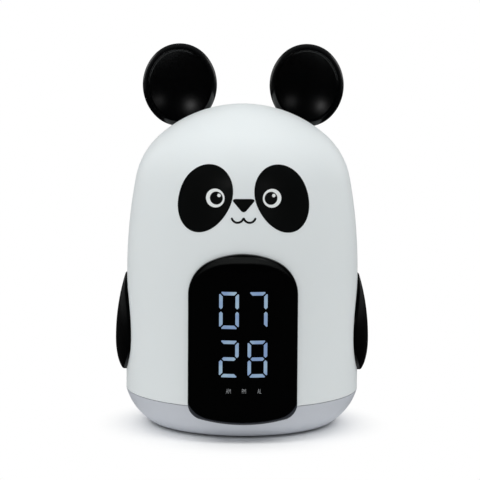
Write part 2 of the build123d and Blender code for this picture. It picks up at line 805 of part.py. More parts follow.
housing_places = around(housing_ring_radius, housing_angle)
foot_places = around(foot_ring_radius, foot_angle)


def base_shell():
    """Rounded base with the battery bay, screw bosses and the ring that centres the dome."""
    shell = base_form() - base_form(base_wall, base_floor_z, seam_z)
    ring_out = body_radius(seam_z, dome_wall) - fit_gap
    ring = upright(ring_out, seam_z - tongue_root, seam_z + tongue_rise)
    ring -= upright(ring_out - tongue_wall, seam_z - tongue_root, seam_z + tongue_rise)
    shell += ring
    shell += block((-bay_half_x - bay_wall, -bay_half_y - bay_wall, base_flat_z),
                   (bay_half_x + bay_wall, bay_half_y + bay_wall, bay_top_z))
    for x, y in housing_places:
        shell += upright(housing_boss_radius, base_flat_z + base_wall, seam_z, x, y) & base_form()
    boss_top = door_z + screw_bite + boss_ledge
    shell += upright(screw_radius + door_boss_wall, door_z, boss_top, 0, door_screw_y)
    shell -= block((-bay_half_x, -bay_half_y, base_flat_z), (bay_half_x, bay_half_y, bay_roof_z))
    shell -= door_cuts()
    shell -= along_y(front_arch.face(window_inset), *front_side)
    shell -= base_cuts()
    return shell


def base_cuts():
    """Holes for the housing screws, recesses for the feet and holes for the tower's screws."""
    cuts = []
    for x, y in housing_places:
        cuts.append(upright(screw_head_radius + 2 * fit_gap, 0, housing_head_z, x, y))
        cuts.append(upright(screw_radius + fit_gap, 0, seam_z + overcut, x, y))
    for x, y in foot_places:
        cuts.append(upright(foot_radius + seat_gap, 0, base_flat_z + foot_recess, x, y))
    for x, y in tower_screws():
        cuts.append(upright(screw_radius, bay_roof_z, bay_top_z, x, y))
    return cuts


def dome_shell():
    """White shell: the wall, two windows, four screw posts, and the ear and arm bosses."""
    low_z = seam_z + seam_gap
    inner = body_form(dome_wall, low_z - overcut)
    inside = body_form(dome_wall / 2, low_z)
    shell = body_form(0, low_z) - inner
    for x, y in housing_places:
        shell += dome_post(x, y) & inside
    for side in (-1, 1):
        x = side * ear_peg_x
        shell += upright(ear_boss_radius, ear_boss_z, dome_top_z, x, ear_peg_y) & inside
        start, end = sorted((side * arm_boss_x, side * seam_radius))
        shell += rod_x(arm_boss_radius, start, end, 0, arm_peg_z) & inside
        shell -= upright(ear_peg_radius + fit_gap, ear_boss_z + boss_ledge, dome_top_z, x, ear_peg_y)
        shell -= upright(screw_radius + fit_gap, ear_boss_z, dome_top_z, x, ear_peg_y)
        start, end = sorted((side * (arm_boss_x + boss_ledge), side * clear_y))
        shell -= rod_x(arm_peg_radius + fit_gap, start, end, 0, arm_peg_z)
        start, end = sorted((side * arm_boss_x, side * clear_y))
        shell -= rod_x(screw_radius + fit_gap, start, end, 0, arm_peg_z)
    shell -= along_y(front_arch.face(window_inset), *front_side)
    return shell - along_y(rear_arch.face(window_inset), *rear_side)


def dome_post(x, y):
    """Post for a housing screw, joined to the wall by a rib."""
    low_z = seam_z + seam_gap
    post = upright(dome_boss_radius, low_z, low_z + dome_boss_height, x, y)
    rib = block((0, -dome_rib / 2, low_z + tongue_rise + fit_gap),
                (seam_radius - housing_ring_radius, dome_rib / 2, low_z + dome_boss_height))
    post += Pos(x, y, 0) * Rot(0, 0, heading((0, 0), (x, y))) * rib
    return post - upright(screw_radius, low_z, low_z + housing_bite + screw_room, x, y)


def housing_screw(x, y):
    """Long screw from under the base into a post of the dome."""
    return Pos(x, y, housing_head_z) * screw(seam_z + seam_gap + housing_bite - housing_head_z)


def cell(index):
    """One round cell lying along Y, every second one turned round."""
    x = (index - (cells - 1) / 2) * cell_pitch
    z = bay_roof_z - fit_gap - cell_radius
    way = 1 if index % 2 == 0 else -1
    half = (cell_length + cell_nub) / 2
    start, end = sorted((-way * half, way * (half - cell_nub)))
    can = rod_y(cell_radius, start, end, x, z)
    start, end = sorted((way * (half - cell_nub), way * half))
    return can + rod_y(cell_nub_radius, start, end, x, z)


def battery_contact(index, way):
    """Bowed strip at one end of a cell."""
    x = (index - (cells - 1) / 2) * cell_pitch
    z = bay_roof_z - fit_gap - cell_radius
    wall_y, half = bay_half_y - seat_gap, contact_width / 2
    plate_y = wall_y - contact_strip
    low, high = z - half, z + half
    strip = make_face([
        Line((wall_y, low), (wall_y, high)),
        Line((wall_y, high), (plate_y, high)),
        ThreePointArc((plate_y, high), (plate_y - contact_bow, z), (plate_y, low)),
        Line((plate_y, low), (wall_y, low)),
    ])
    strip -= make_face([
        ThreePointArc((plate_y, high - contact_strip), (plate_y - contact_bow + contact_strip, z),
                      (plate_y, low + contact_strip)),
        Line((plate_y, low + contact_strip), (plate_y, high - contact_strip)),
    ])
    solid = extrude(Plane.YZ.offset(x - half) * strip, contact_width)
    return solid if way > 0 else solid.mirror(Plane.XZ)


def battery_door():
    """Cover under the bay, with two tabs at one end and a screw ear at the other."""
    top = door_z - seat_gap
    half_x, half_y = door_half_x - fit_gap, door_half_y - fit_gap
    door = block((-half_x, -half_y, base_flat_z), (half_x, half_y, top))
    door += upright(door_ear_radius, base_flat_z, top, 0, -door_half_y)
    half_tab = door_tab_width / 2
    for x, low, high in door_tabs():
        door += block((x - half_tab, half_y - root, low), (x + half_tab, half_y + door_tab_reach, high))
    door -= upright(screw_head_radius + fit_gap, base_flat_z, door_seat_z, 0, door_screw_y)
    return door - upright(screw_radius + fit_gap, base_flat_z, top, 0, door_screw_y)


def door_tabs():
    """Middle and the two heights of each tab that hooks over the base's floor."""
    return [(side * door_half_x / 2, door_z - seat_gap - door_tab_thickness, door_z - seat_gap)
            for side in (-1, 1)]


def door_cuts():
    """The door's recess in the base, with its ear, its tabs' slots and its screw hole."""
    cuts = [block((-door_half_x, -door_half_y, base_flat_z), (door_half_x, door_half_y, door_z)),
            upright(door_ear_radius + fit_gap, base_flat_z, door_z, 0, -door_half_y),
            upright(screw_radius, base_flat_z, door_z + screw_bite, 0, door_screw_y)]
    for x, low, high in door_tabs():
        reach = door_tab_width / 2 + fit_gap
        cuts.append(block((x - reach, 0, low - fit_gap), (x + reach, door_half_y + door_tab_reach, door_z)))
    return cuts


# --- Light tower ---
def tower_screws():
    """Places of the screws that hold the tower on the battery bay."""
    return around(tower_screw_ring, 45)


def light_tower():
    """Hollow column with a foot, a slotted wall and a ribbed deck."""
    low_z = bay_top_z
    tower = upright(tower_foot_radius, low_z, low_z + tower_plate)
    tower += upright(tower_radius, low_z, tower_deck_z)
    tower += upright(tower_deck_radius, tower_deck_z - tower_plate, tower_deck_z)
    for i in range(tower_gussets):
        tower += Rot(0, 0, (i + 0.5) * 360 / tower_gussets) * tower_gusset_web()
    tower -= upright(tower_radius - tower_wall, low_z, tower_deck_z)
    slot_low = low_z + tower_plate + tower_slot_margin
    slot_high = tower_deck_z - tower_plate - tower_gusset_drop - tower_slot_margin
    half = tower_slot_width / 2
    tower -= block((-half, -tower_foot_radius, slot_low), (half, tower_foot_radius, slot_high))
    for x, y in tower_screws():
        tower -= upright(screw_radius + fit_gap, low_z, low_z + tower_plate, x, y)
    return tower


def tower_screw(x, y):
    """Short screw through the tower's foot into the roof of the battery bay."""
    bite = tower_plate + bay_wall - seat_gap
    return Pos(x, y, bay_top_z + tower_plate) * Rot(180, 0, 0) * screw(bite)


def tower_gusset_web():
    """Triangular web under the deck."""
    top = tower_deck_z - tower_plate / 2
    points = [(tower_radius - tower_wall / 2, top), (tower_deck_radius - tower_gusset_margin, top),
              (tower_radius - tower_wall / 2, top - tower_gusset_drop)]
    web = make_face(Polyline(*points, close=True))
    return extrude(Plane.XZ * web, tower_gusset / 2, both=True)


def night_board():
    """Round board on the tower's deck."""
    return upright(night_board_radius, tower_deck_z + seat_gap, tower_deck_z + seat_gap + board_thickness)


def night_lamps():
    """A ring of lamps and one in the middle."""
    low = tower_deck_z + seat_gap + board_thickness
    high = low + night_led_height
    places = [(0.0, 0.0)] + around(night_led_ring, 0, night_leds)
    half = night_led_size / 2
    return [block((x - half, y - half, low), (x + half, y + half, high)) for x, y in places]


def rubber_foot(x, y):
    """Round pad in a recess of the base."""
    top = base_flat_z + foot_recess - seat_gap
    points = [(0, 0), (foot_radius - foot_chamfer, 0), (foot_radius, foot_chamfer), (foot_radius, top),
              (0, top)]
    return Pos(x, y) * turned(make_face(Polyline(*points, close=True)))


def write_all():
    """Make every piece and write it."""
    os.makedirs("parts", exist_ok=True)
    lit = [face for is_lit, face in segments if is_lit]
    unlit = [face for is_lit, face in segments if not is_lit]

    save("dome_shell", dome_shell())
    save("base_shell", base_shell())
    save("display_lens", display_lens(lit + unlit + indicator_faces))
    save("digit_segments_lit", *light_windows(lit))
    save("digit_segments_unlit", *light_windows(unlit))
    save("indicator_windows", *light_windows(indicator_faces))
    save("light_block", light_block())
    save("display_board", display_board())
    save("display_leds", *display_leds())
    save("display_board_screws", *[board_screw(x, z, display_board_y + board_thickness, 90)
                                   for x, z in display_posts()])
    left = ear_left()
    save("ear_left", left)
    save("ear_right", left.mirror(Plane.YZ))
    save("ear_screws", *[Pos(side * ear_peg_x, ear_peg_y, ear_boss_z) * screw(2 * screw_bite - boss_ledge)
                         for side in (-1, 1)])
    right = arm_right()
    save("arm_right", right)
    save("arm_left", right.mirror(Plane.YZ))
    save("arm_screws", arm_screw_right(), arm_screw_right().mirror(Plane.YZ))

    save("rear_panel", rear_panel())
    save("main_board", main_board())
    save("main_board_screws", *[board_screw(x, z, main_board_y - board_thickness, -90)
                                for x, z in main_board_posts()])
    save("tact_switches", *[tact_switch(x, z) for x, z in BUTTONS.values()])
    for name, (x, z) in BUTTONS.items():
        save(name, button(x, z))
    save("alarm_switch_knob", alarm_switch_knob())
    save("alarm_switch_body", alarm_switch_body())
    save("power_socket", power_socket())
    save("speaker", speaker())

    save("light_tower", light_tower())
    save("light_tower_screws", *[tower_screw(x, y) for x, y in tower_screws()])
    save("night_light_board", night_board())
    save("night_light_lamps", *night_lamps())
    save("battery_cells", *[cell(i) for i in range(cells)])
    save("battery_contacts", *[battery_contact(i, way) for i in range(cells) for way in (-1, 1)])
    save("battery_door", battery_door())
    save("battery_door_screw", Pos(0, door_screw_y, door_seat_z) * screw(screw_bite))
    save("rubber_feet", *[rubber_foot(x, y) for x, y in foot_places])
    save("housing_screws", *[housing_screw(x, y) for x, y in housing_places])


write_all()
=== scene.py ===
"""Looks of an animal-shaped alarm clock with a night light, in a white studio.

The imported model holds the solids. This script gives every node its finish,
prints the face on the dome, the marks on the display and the signs on the
buttons, and sets up the floor, the lamps and the camera. Sizes are in
millimetres unless a comment says otherwise, and Blender gets metres.
"""
import logging
import math
from dataclasses import dataclass
from enum import Enum
from typing import Callable, Optional, Union

import bpy
from mathutils import Matrix, Vector


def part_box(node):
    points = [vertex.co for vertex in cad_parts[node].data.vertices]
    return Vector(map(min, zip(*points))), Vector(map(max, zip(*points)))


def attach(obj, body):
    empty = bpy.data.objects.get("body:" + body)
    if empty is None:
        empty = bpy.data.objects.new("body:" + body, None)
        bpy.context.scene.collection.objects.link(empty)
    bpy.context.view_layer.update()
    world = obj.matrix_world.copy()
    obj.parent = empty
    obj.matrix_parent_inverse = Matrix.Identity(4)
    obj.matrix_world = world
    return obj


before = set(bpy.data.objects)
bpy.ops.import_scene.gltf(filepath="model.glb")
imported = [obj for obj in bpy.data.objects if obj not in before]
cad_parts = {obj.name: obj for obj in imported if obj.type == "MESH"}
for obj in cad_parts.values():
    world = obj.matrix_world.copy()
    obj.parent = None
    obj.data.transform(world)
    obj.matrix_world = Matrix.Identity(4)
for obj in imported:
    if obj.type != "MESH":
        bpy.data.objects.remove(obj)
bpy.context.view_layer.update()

MM = 0.001
HAIR = 0.01 * MM                        # for telling places apart
UPRIGHT = (math.pi / 2, 0, 0)           # turns a flat shape to stand up and face the front
Colour = tuple[float, float, float]
log = logging.getLogger("clock")


class Side(Enum):
    """The two sides of the clock, as the sign of X."""
    LEFT = -1
    RIGHT = 1


class Layer(Enum):
    """Height of a printed layer above the plastic, in millimetres."""
    FIRST = 0.06
    SECOND = 0.10
    THIRD = 0.14
    FOURTH = 0.18


# --- Shader maths ---
class Wire:
    """A shader value that takes part in Python expressions."""

    def __init__(self, graph: "Graph", socket: bpy.types.NodeSocket) -> None:
        """Wrap a socket.

        Args:
            graph: the graph that the socket's node is in.
            socket: the output that carries the value.
        """
        self.graph = graph
        self.socket = socket

    def maths(self, operation: str, first: "Value", second: "Value" = 0.0) -> "Wire":
        """Join two values by one Math node.

        Args:
            operation: the Math node's operation.
            first: the first value.
            second: the second value.

        Returns:
            The result.
        """
        return self.graph.wire("ShaderNodeMath", {"operation": operation}, {0: first, 1: second})

    def __add__(self, other: "Value") -> "Wire":
        """Sum."""
        return self.maths("ADD", self, other)

    __radd__ = __add__

    def __mul__(self, other: "Value") -> "Wire":
        """Product."""
        return self.maths("MULTIPLY", self, other)

    __rmul__ = __mul__

    def __sub__(self, other: "Value") -> "Wire":
        """Difference."""
        return self.maths("SUBTRACT", self, other)

    def __rsub__(self, other: "Value") -> "Wire":
        """Difference, from a plain number."""
        return self.maths("SUBTRACT", other, self)

    def __truediv__(self, other: "Value") -> "Wire":
        """Quotient."""
        return self.maths("DIVIDE", self, other)

    def either(self, other: "Value") -> "Wire":
        """The larger of two values."""
        return self.maths("MAXIMUM", self, other)

    def step(self, start: float, end: float) -> "Wire":
        """Smooth rise from 0 at start to 1 at end."""
        inputs = {"Value": self, "From Min": start, "From Max": end}
        return self.graph.wire("ShaderNodeMapRange", {"interpolation_type": "SMOOTHSTEP"}, inputs)


Value = Union[Wire, float]


class Graph:
    """The node graph of one material or of the world."""

    def __init__(self, owner: Union[bpy.types.Material, bpy.types.World]) -> None:
        """Start from an empty graph.

        Args:
            owner: the material or world whose graph is filled.
        """
        owner.use_nodes = True
        self.tree = owner.node_tree
        self.tree.nodes.clear()

    def node(self, kind: str, settings: Optional[dict] = None,
             inputs: Optional[dict] = None) -> bpy.types.Node:
        """Add a node.

        Args:
            kind: the node's type.
            settings: its own properties, set first.
            inputs: values or wires of its sockets, by name or number.

        Returns:
            The node.
        """
        node = self.tree.nodes.new(kind)
        for name, value in (settings or {}).items():
            setattr(node, name, value)
        for name, value in (inputs or {}).items():
            if isinstance(value, Wire):
                self.tree.links.new(value.socket, node.inputs[name])
            else:
                node.inputs[name].default_value = value
        return node

    def wire(self, kind: str, settings: Optional[dict] = None, inputs: Optional[dict] = None,
             output: Union[int, str] = 0) -> Wire:
        """Add a node and take one of its outputs.

        Args:
            kind: the node's type.
            settings: its own properties.
            inputs: values or wires of its sockets.
            output: which output to take.

        Returns:
            That output as a wire.
        """
        return Wire(self, self.node(kind, settings, inputs).outputs[output])

    def place(self) -> Wire:
        """Place on the piece, in metres."""
        return self.wire("ShaderNodeTexCoord", output="Object")

    def along(self, axis: str) -> Wire:
        """Place along one axis, in millimetres.

        Args:
            axis: X, Y or Z.

        Returns:
            The place.
        """
        return self.wire("ShaderNodeSeparateXYZ", None, {0: self.place()}, axis) / MM

    def noise(self, scale: float, detail: float = 2.0) -> Wire:
        """Cloudy value round 0.5.

        Args:
            scale: patches per metre.
            detail: how many finer layers are added.

        Returns:
            The value.
        """
        inputs = {"Vector": self.place(), "Scale": scale, "Detail": detail}
        return self.wire("ShaderNodeTexNoise", None, inputs, "Fac")

    def blend(self, share: Value, low: Union[Wire, Colour], high: Union[Wire, Colour]) -> Wire:
        """Mix two colours.

        Args:
            share: 0 gives low and 1 gives high.
            low: the first colour.
            high: the second colour.

        Returns:
            The mixed colour.
        """
        ends = [c if isinstance(c, Wire) else (*c, 1.0) for c in (low, high)]
        return self.wire("ShaderNodeMix", {"data_type": "RGBA"}, {0: share, 6: ends[0], 7: ends[1]}, 2)

    def finish(self, kind: str, shader: Wire) -> None:
        """Join a shader to the output.

        Args:
            kind: the output node's type.
            shader: the shader.
        """
        self.node(kind, None, {"Surface": shader})


# --- Finishes ---
def shaded(colour: Colour, share: float) -> Colour:
    """A colour made lighter or darker.

    Args:
        colour: the colour.
        share: what it is multiplied by.

    Returns:
        The new colour.
    """
    return tuple(min(channel * share, 1.0) for channel in colour)


@dataclass(frozen=True)
class Finish:
    """Moulded or stamped surface: a colour that wanders a little, uneven gloss and a fine grain."""
    name: str
    colour: Colour
    roughness: float
    metallic: float = 0.0
    specular: float = 0.5
    coat: float = 0.0
    colour_change: float = 0.03
    colour_scale: float = 45.0
    gloss_change: float = 0.04
    gloss_scale: float = 160.0
    gloss_detail: float = 4.0
    grain: float = 0.0                  # metres
    grain_scale: float = 1500.0
    grain_detail: float = 3.0

    def base_colour(self, graph: Graph) -> Wire:
        """Colour over the surface."""
        low = shaded(self.colour, 1 - self.colour_change)
        high = shaded(self.colour, 1 + self.colour_change)
        return graph.blend(graph.noise(self.colour_scale), low, high)

    def gloss(self, graph: Graph) -> Wire:
        """Roughness over the surface."""
        wander = graph.noise(self.gloss_scale, self.gloss_detail) - 0.5
        return wander * self.gloss_change + self.roughness

    def height(self, graph: Graph) -> Wire:
        """Height of the grain over the surface, from 0 to 1."""
        return graph.noise(self.grain_scale, self.grain_detail)

    def extra(self, graph: Graph, shader: bpy.types.Node) -> None:
        """Anything more that a finish sets on its shader."""

    def material(self) -> bpy.types.Material:
        """Build the material.

        Returns:
            The material.
        """
        material = bpy.data.materials.new(self.name)
        graph = Graph(material)
        inputs = {"Base Color": self.base_colour(graph), "Roughness": self.gloss(graph),
                  "Metallic": self.metallic, "Specular IOR Level": self.specular, "Coat Weight": self.coat}
        if self.grain:
            bump = {"Height": self.height(graph), "Distance": self.grain, "Strength": 1.0}
            inputs["Normal"] = graph.wire("ShaderNodeBump", None, bump)
        shader = graph.node("ShaderNodeBsdfPrincipled", None, inputs)
        self.extra(graph, shader)
        graph.finish("ShaderNodeOutputMaterial", Wire(graph, shader.outputs[0]))
        return material


@dataclass(frozen=True)
class Diffuser(Finish):
    """White plastic that lets some light in, as a night light's shade does."""
    depth: float = 0.0015               # metres
    depth_by_colour: Colour = (1.0, 0.95, 0.9)
    weight: float = 0.25

    def extra(self, graph: Graph, shader: bpy.types.Node) -> None:
        """Light that spreads under the surface."""
        shader.inputs["Subsurface Weight"].default_value = self.weight
        shader.inputs["Subsurface Radius"].default_value = self.depth_by_colour
        shader.inputs["Subsurface Scale"].default_value = self.depth


@dataclass(frozen=True)
class PaintedSheenLens(Finish):
    """Smoked window with painted reflections: a faint painted band of light along its arched top, and a
    thin painted line of light along its lower edge.
    """
    # colour of the painted reflection along the arched top
    painted_bow_colour: Colour = (0.0165, 0.0175, 0.0170)
    bow_low: float = 79.1
    bow_low_blur: float = 0.5
    bow_high: float = 81.9
    bow_high_blur: float = 0.35
    bow_half: float = 18.9
    drop_low: float = 5.2               # how far the bow's two edges come down at the sides
    drop_high: float = 7.1
    fade: float = 0.75                  # share of the bow that is lost at the sides
    fade_start: float = 0.25            # as shares of the bow's half width
    fade_end: float = 1.25
    # colour of the painted reflection of the floor along the lower edge
    painted_foot_colour: Colour = (0.033, 0.036, 0.043)
    foot_z: float = 8.3
    foot_rise: float = 1.92
    foot_corner: float = 0.6
    foot_start: float = 0.8             # the line fades out between these heights above the edge
    foot_end: float = 1.5

    def base_colour(self, graph: Graph) -> Wire:
        """Black with the painted reflection on the arched top, which bends down and fades to both sides,
        and the painted line of light along the lower edge.
        """
        across = graph.along("X").maths("ABSOLUTE", graph.along("X")) / self.bow_half
        bend = across * across * across
        above_low = graph.along("Z") - self.bow_low + bend * self.drop_low
        above_high = graph.along("Z") - self.bow_high + bend * self.drop_high
        inner = above_low.step(-self.bow_low_blur, self.bow_low_blur)
        outer = above_high.step(-self.bow_high_blur, self.bow_high_blur)
        share = (inner - outer) * (1 - across.step(self.fade_start, self.fade_end) * self.fade)
        # painted reflection across the arched top
        upper = graph.blend(share, super().base_colour(graph), self.painted_bow_colour)
        # painted reflection of the floor along the lower edge
        sill = across * across * self.foot_rise + bend * bend * bend * self.foot_corner + self.foot_z
        line = 1 - (graph.along("Z") - sill).step(self.foot_start, self.foot_end)
        return graph.blend(line, upper, self.painted_foot_colour)


@dataclass(frozen=True)
class Glow(Finish):
    """Lit window, whose tint drifts from one bar to the next. On printed marks the same light is a painted
    glow.
    """
    tint_low: Colour = (0.18, 0.27, 0.46)
    tint_high: Colour = (0.29, 0.41, 0.51)
    tint_scale: float = 110.0
    tint_start: float = 0.35
    tint_end: float = 0.65
    strength: float = 1.0

    def extra(self, graph: Graph, shader: bpy.types.Node) -> None:
        """Light that the window gives."""
        share = graph.noise(self.tint_scale).step(self.tint_start, self.tint_end)
        tint = graph.blend(share, self.tint_low, self.tint_high)
        graph.tree.links.new(tint.socket, shader.inputs["Emission Color"])
        shader.inputs["Emission Strength"].default_value = self.strength


@dataclass(frozen=True)
class Brushed(Finish):
    """Plated metal with fine turning marks."""
    mark_scale: float = 2600.0
    mark_wander: float = 1.5

    def height(self, graph: Graph) -> Wire:
        """Fine bands across the metal."""
        inputs = {"Vector": graph.place(), "Scale": self.mark_scale, "Distortion": self.mark_wander}
        return graph.wire("ShaderNodeTexWave", {"bands_direction": "Z"}, inputs, "Fac")


@dataclass(frozen=True)
class SolderMask(Finish):
    """Circuit board: a lacquer with the copper tracks showing through."""
    track: Colour = (0.05, 0.30, 0.15)
    track_scale: float = 420.0
    track_disorder: float = 0.35
    track_start: float = 0.06
    track_end: float = 0.10

    def base_colour(self, graph: Graph) -> Wire:
        """Thin tracks between the cells of a nearly even grid."""
        settings = {"feature": "DISTANCE_TO_EDGE", "distance": "EUCLIDEAN"}
        inputs = {"Vector": graph.place(), "Scale": self.track_scale, "Randomness": self.track_disorder}
        edge = graph.wire("ShaderNodeTexVoronoi", settings, inputs, "Distance")
        return graph.blend(edge.step(self.track_start, self.track_end), self.track, self.colour)


@dataclass(frozen=True)
class Weave(Finish):
    """Speaker cloth: fine crossing threads."""
    thread_scale: float = 3200.0

    def height(self, graph: Graph) -> Wire:
        """Threads both ways."""
        upright, level = [graph.wire("ShaderNodeTexWave", {"bands_direction": way},
                                     {"Vector": graph.place(), "Scale": self.thread_scale}, "Fac")
                          for way in ("X", "Z")]
        return upright.either(level)


DOME = Diffuser("dome_plastic", (0.79, 0.83, 0.835), 0.42, colour_change=0.01, colour_scale=18.0,
                grain=4e-6, grain_scale=2400.0)
BASE = Finish("base_plastic", (0.565, 0.59, 0.638), 0.44, colour_change=0.015,
              grain=5e-6, grain_scale=2200.0)
GLOSS_BLACK = Finish("polished_black", (0.0006, 0.0007, 0.0009), 0.22, specular=0.45, colour_change=0.3,
                     gloss_change=0.05, gloss_scale=90.0)
# black lens whose colour also carries painted reflections along its arched top and its lower edge
LENS_BLACK_PAINTED_SHEEN = PaintedSheenLens("display_black_painted_sheen", (0.0006, 0.0007, 0.0008), 0.08, specular=0.60, colour_change=0.3,
                   gloss_change=0.04, gloss_scale=120.0)
SEGMENT_LIT = Glow("segment_glow", (0.02, 0.025, 0.03), 0.16, specular=0.3)
SEGMENT_DARK = Finish("segment_smoke", (0.0007, 0.0008, 0.0009), 0.08, specular=0.60)
INK_BLACK = Finish("black_ink", (0.0030, 0.0034, 0.0034), 0.34, specular=0.40, colour_change=0.15,
                   gloss_change=0.08, gloss_scale=260.0, grain=2e-6, grain_scale=3000.0)
INK_WHITE = Finish("white_ink", (0.80, 0.83, 0.82), 0.40, colour_change=0.01,
                   grain=2e-6, grain_scale=3000.0)
# grey print ink with a faint painted glow: it gives off light though it is no lamp
INK_GREY_PAINTED_GLOW = Glow("mark_ink_painted_glow", (0.28, 0.29, 0.30), 0.35, tint_low=(0.08, 0.085, 0.09),
                tint_high=(0.09, 0.095, 0.10))
TRAY = Finish("panel_plastic", (0.575, 0.60, 0.65), 0.50, colour_change=0.015,
              grain=8e-6, grain_scale=1800.0)
BUTTON = Finish("button_plastic", (0.030, 0.031, 0.033), 0.38, colour_change=0.08,
                grain=6e-6, grain_scale=2600.0)
WHITE_PART = Finish("inner_white", (0.80, 0.80, 0.78), 0.50, grain=6e-6)
BOARD = SolderMask("board_lacquer", (0.018, 0.16, 0.075), 0.30, coat=0.3)
LAMP = Finish("lamp_face", (0.90, 0.84, 0.50), 0.25, coat=0.5)
INNER_BLACK = Finish("inner_black", (0.03, 0.03, 0.03), 0.50, grain=6e-6)
CLOTH = Weave("speaker_cloth", (0.02, 0.02, 0.02), 0.85, grain=6e-5)
STEEL = Brushed("plated_steel", (0.56, 0.56, 0.57), 0.28, metallic=1.0, grain=3e-6)
NICKEL = Brushed("nickel_strip", (0.66, 0.65, 0.61), 0.24, metallic=1.0, grain=3e-6)
FILM = Finish("cell_film", (0.16, 0.18, 0.21), 0.28, coat=0.4, colour_change=0.1)
RUBBER = Finish("foot_rubber", (0.055, 0.055, 0.055), 0.82, colour_change=0.15,
                grain=1.5e-5, grain_scale=2200.0)

DRESS = {
    DOME: ("dome_shell",),
    BASE: ("base_shell", "battery_door"),
    GLOSS_BLACK: ("ear_left", "ear_right", "arm_left", "arm_right"),
    LENS_BLACK_PAINTED_SHEEN: ("display_lens",),
    SEGMENT_LIT: ("digit_segments_lit",),
    SEGMENT_DARK: ("digit_segments_unlit", "indicator_windows"),
    TRAY: ("rear_panel",),
    BUTTON: ("time_button", "alarm_button", "light_button", "down_button", "up_button",
             "alarm_switch_knob"),
    WHITE_PART: ("light_block", "light_tower"),
    BOARD: ("display_board", "main_board", "night_light_board"),
    LAMP: ("display_leds", "night_light_lamps"),
    INNER_BLACK: ("tact_switches", "alarm_switch_body"),
    CLOTH: ("speaker",),
    STEEL: ("display_board_screws", "main_board_screws", "ear_screws", "arm_screws",
            "light_tower_screws", "housing_screws", "battery_door_screw", "power_socket"),
    NICKEL: ("battery_contacts",),
    FILM: ("battery_cells",),
    RUBBER: ("rubber_feet",),
}


class Wardrobe:
    """Holds the built materials and puts them on pieces."""

    def __init__(self) -> None:
        """Start with nothing built."""
        self.built: dict[Finish, bpy.types.Material] = {}

    def put(self, finish: Finish, piece: bpy.types.Object) -> None:
        """Give a piece its finish.

        Args:
            finish: the finish.
            piece: the object that gets it, in place of what it had.
        """
        if finish not in self.built:
            self.built[finish] = finish.material()
        piece.data.materials.clear()
        piece.data.materials.append(self.built[finish])

    def dress_nodes(self) -> None:
        """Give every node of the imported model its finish."""
        for finish, names in DRESS.items():
            for name in names:
                self.put(finish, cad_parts[name])
                log.info("%s has %s", name, finish.name)


# --- Modelling by hand ---
class Bench:
    """Modelling operations on one piece at a time."""

    @staticmethod
    def clear() -> None:
        """Deselect everything."""
        bpy.ops.object.select_all(action="DESELECT")

    @staticmethod
    def edit(piece: bpy.types.Object, wanted: Callable[[Vector], bool]) -> None:
        """Enter edit mode with the vertices that a test picks.

        Args:
            piece: the piece.
            wanted: says of a vertex's place whether it is picked.
        """
        bpy.ops.object.mode_set(mode="OBJECT")
        for vertex in piece.data.vertices:
            vertex.select = wanted(vertex.co)
        for edge in piece.data.edges:
            edge.select = all(piece.data.vertices[i].select for i in edge.vertices)
        for face in piece.data.polygons:
            face.select = all(piece.data.vertices[i].select for i in face.vertices)
        bpy.ops.object.mode_set(mode="EDIT")

    @staticmethod
    def settle(piece: bpy.types.Object) -> None:
        """Move the piece's place into its mesh.

        Args:
            piece: the piece.
        """
        bpy.ops.object.mode_set(mode="OBJECT")
        Bench.clear()
        piece.select_set(True)
        bpy.context.view_layer.objects.active = piece
        bpy.ops.object.transform_apply(location=True, rotation=True, scale=True)

    @staticmethod
    def outline(name: str, sides: int) -> bpy.types.Object:
        """Start an upright ring of edges with a radius of 1 mm, round the origin.

        Args:
            name: the piece's name.
            sides: how many edges.

        Returns:
            The piece, in edit mode with all of it selected.
        """
        Bench.clear()
        bpy.ops.mesh.primitive_circle_add(vertices=sides, radius=MM, rotation=UPRIGHT)
        piece = bpy.context.active_object
        piece.name = name
        bpy.ops.object.transform_apply(location=True, rotation=True, scale=True)
        bpy.ops.object.mode_set(mode="EDIT")
        bpy.ops.mesh.select_all(action="SELECT")
        return piece

    @staticmethod
    def corners(piece: bpy.types.Object) -> tuple[Vector, Vector]:
        """Lowest and highest corner of a piece that is being edited.

        Args:
            piece: the piece, in edit mode.

        Returns:
            The two corners, in metres.
        """
        bpy.ops.object.mode_set(mode="OBJECT")
        places = [vertex.co.copy() for vertex in piece.data.vertices]
        bpy.ops.object.mode_set(mode="EDIT")
        return tuple(Vector([pick(place[axis] for place in places) for axis in range(3)])
                     for pick in (min, max))

    @staticmethod
    def resize(x: float, z: float, centre: Vector = Vector()) -> None:
        """Scale what is selected across and up."""
        bpy.ops.transform.resize(value=(x, 1, z), center_override=centre)

    @staticmethod
    def fill_in_rings(rings: int) -> None:
        """Fill a selected ring of edges with smaller rings and a point in the middle.

        Args:
            rings: how many rings.
        """
        bpy.ops.mesh.select_mode(type="EDGE")
        for ring in range(rings, 1, -1):
            bpy.ops.mesh.extrude_edges_move()
            Bench.resize((ring - 1) / ring, (ring - 1) / ring)
        bpy.ops.mesh.extrude_edges_move()
        bpy.ops.mesh.merge(type="CENTER")
        bpy.ops.mesh.select_mode(type="VERT")

    @staticmethod
    def modify(piece: bpy.types.Object, kind: str, **settings: object) -> None:
        """Add a modifier and apply it.

        Args:
            piece: the piece, selected and active.
            kind: the modifier's type.
            **settings: its properties.
        """
        modifier = piece.modifiers.new(kind.lower(), kind)
        for name, value in settings.items():
            setattr(modifier, name, value)
        bpy.ops.object.modifier_apply(modifier=modifier.name)

    @staticmethod
    def outward(piece: bpy.types.Object) -> None:
        """Turn the faces of a closed piece outwards.

        Args:
            piece: the piece.
        """
        Bench.edit(piece, lambda place: True)
        bpy.ops.mesh.normals_make_consistent(inside=False)
        bpy.ops.object.mode_set(mode="OBJECT")


